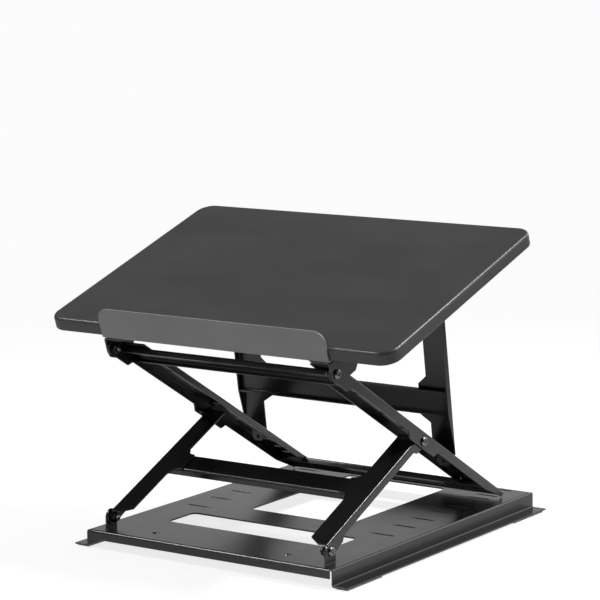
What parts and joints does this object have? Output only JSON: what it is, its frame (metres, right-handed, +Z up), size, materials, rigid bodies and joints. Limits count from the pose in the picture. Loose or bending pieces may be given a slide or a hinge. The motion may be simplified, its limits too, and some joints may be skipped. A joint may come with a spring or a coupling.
{
  "type": "desk laptop riser",
  "caption": "Folding sheet-steel desk converter: scissor legs on a low base plate raise a broad tilting tray with a front lip.",
  "frame": {"origin": "centre of the bounding box at desk level, under the pads", "axes": "+X to the user's right, +Y to the back, +Z up"},
  "size_m": [0.378, 0.354, 0.2909],
  "materials": {
    "powder_coat": "black satin powder coat",
    "lip_coat": "dark grey fine-textured powder coat",
    "tray_skin": "black satin skin on the tray board",
    "pad_rubber": "light grey non-slip strip",
    "bright_zinc": "bright zinc-plated steel",
    "dark_zinc": "dark zinc-plated steel"
  },
  "bodies": {
    "base": {"base_plate": "powder_coat", "rubber_pads": "pad_rubber", "lug_bolts": "bright_zinc", "lug_nuts": "dark_zinc"},
    "front_legs": {"front_leg_left": "powder_coat", "front_leg_right": "powder_coat", "front_crossbar": "powder_coat"},
    "long_legs": {"long_leg_left": "powder_coat", "long_leg_right": "powder_coat", "top_crossbar": "powder_coat", "bottom_crossbar": "powder_coat", "tilt_tabs": "powder_coat", "scissor_bolts": "bright_zinc", "scissor_nuts": "dark_zinc"},
    "tray": {"tray_board": "tray_skin", "tray_lip": "lip_coat", "front_bracket_left": "powder_coat", "front_bracket_right": "powder_coat", "rear_bracket_left": "powder_coat", "rear_bracket_right": "powder_coat", "tray_screws": "dark_zinc", "tray_bolts": "bright_zinc", "tray_nuts": "dark_zinc"},
    "rear_support": {"support_upright_left": "powder_coat", "support_upright_right": "powder_coat", "support_crossbar": "powder_coat", "support_bolts": "bright_zinc", "support_nuts": "dark_zinc"}
  },
  "joints": [
    {"name": "fold", "type": "hinge", "parent": "base", "child": "front_legs", "pos_m": [0, -0.159, 0.028], "axis": [1, 0, 0], "range_deg": [-21, 36]},
    {"name": "scissor", "type": "hinge", "parent": "front_legs", "child": "long_legs", "pos_m": [0, -0.00327, 0.09864], "axis": [1, 0, 0], "range_deg": [-74, 44]},
    {"name": "tilt", "type": "hinge", "parent": "long_legs", "child": "tray", "pos_m": [0, -0.15076, 0.18517], "axis": [1, 0, 0], "range_deg": [-18, 24]},
    {"name": "support", "type": "hinge", "parent": "tray", "child": "rear_support", "pos_m": [0, 0.02621, 0.25214], "axis": [1, 0, 0], "range_deg": [-49, 37]}
  ],
  "couplings": [
    {"joint": "scissor", "follows": "fold", "ratio": -2.05},
    {"joint": "support", "follows": "tilt", "ratio": -2.03}
  ]
}
